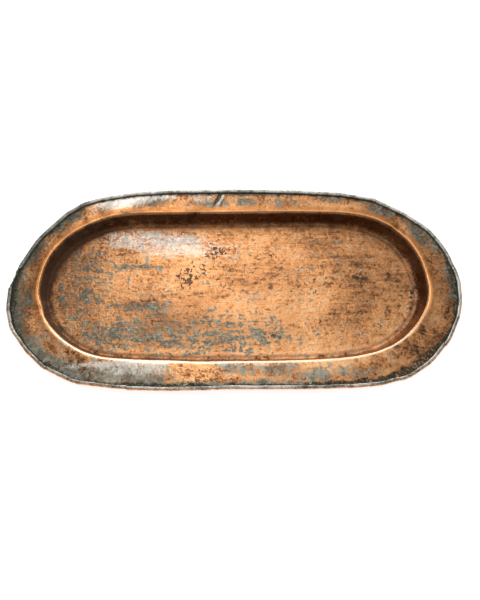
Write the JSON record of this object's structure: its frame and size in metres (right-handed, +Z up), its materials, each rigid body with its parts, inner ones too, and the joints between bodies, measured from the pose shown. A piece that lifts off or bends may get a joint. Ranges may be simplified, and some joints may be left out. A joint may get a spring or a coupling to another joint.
{
  "type": "serving tray",
  "caption": "Oblong hand-raised copper tray with a shallow flat well, a broad flat rim, and an edge wired and bound with folded strips.",
  "frame": {"origin": "on the surface the tray rests on, under the middle of the tray's outline", "axes": "+X along the tray to its rounder end, +Y across it to the back, +Z up out of the well"},
  "size_m": [0.6106, 0.2892, 0.029],
  "materials": {
    "copper": "hammered, worn and tarnished, with grey remains of tinning",
    "rivet_copper": "dark green-black tarnish",
    "iron_wire": "dull and rusty",
    "tinned_copper": "worn tin over copper, satin"
  },
  "bodies": {
    "root": {"tray_sheet": "copper", "repair_rivets": "rivet_copper", "edge_wire_back": "iron_wire", "edge_wire_front": "iron_wire", "edge_strip_right_middle": "tinned_copper", "edge_strip_right_upper": "tinned_copper", "edge_strip_back_right_corner": "tinned_copper", "edge_strip_back_right_shoulder": "tinned_copper", "edge_strip_back_right": "tinned_copper", "edge_strip_back_left": "tinned_copper", "edge_strip_back_left_shoulder": "tinned_copper", "edge_strip_back_left_corner": "tinned_copper", "edge_strip_left_upper": "tinned_copper", "edge_strip_left_torn": "tinned_copper", "edge_strip_left_middle": "tinned_copper", "edge_strip_left_lower": "tinned_copper", "edge_strip_front_left_corner": "tinned_copper", "edge_strip_front_left": "tinned_copper", "edge_strip_front_right": "tinned_copper", "edge_strip_front_right_shoulder": "tinned_copper", "edge_strip_front_right_corner": "tinned_copper", "edge_strip_right_lower": "tinned_copper"}
  },
  "joints": []
}
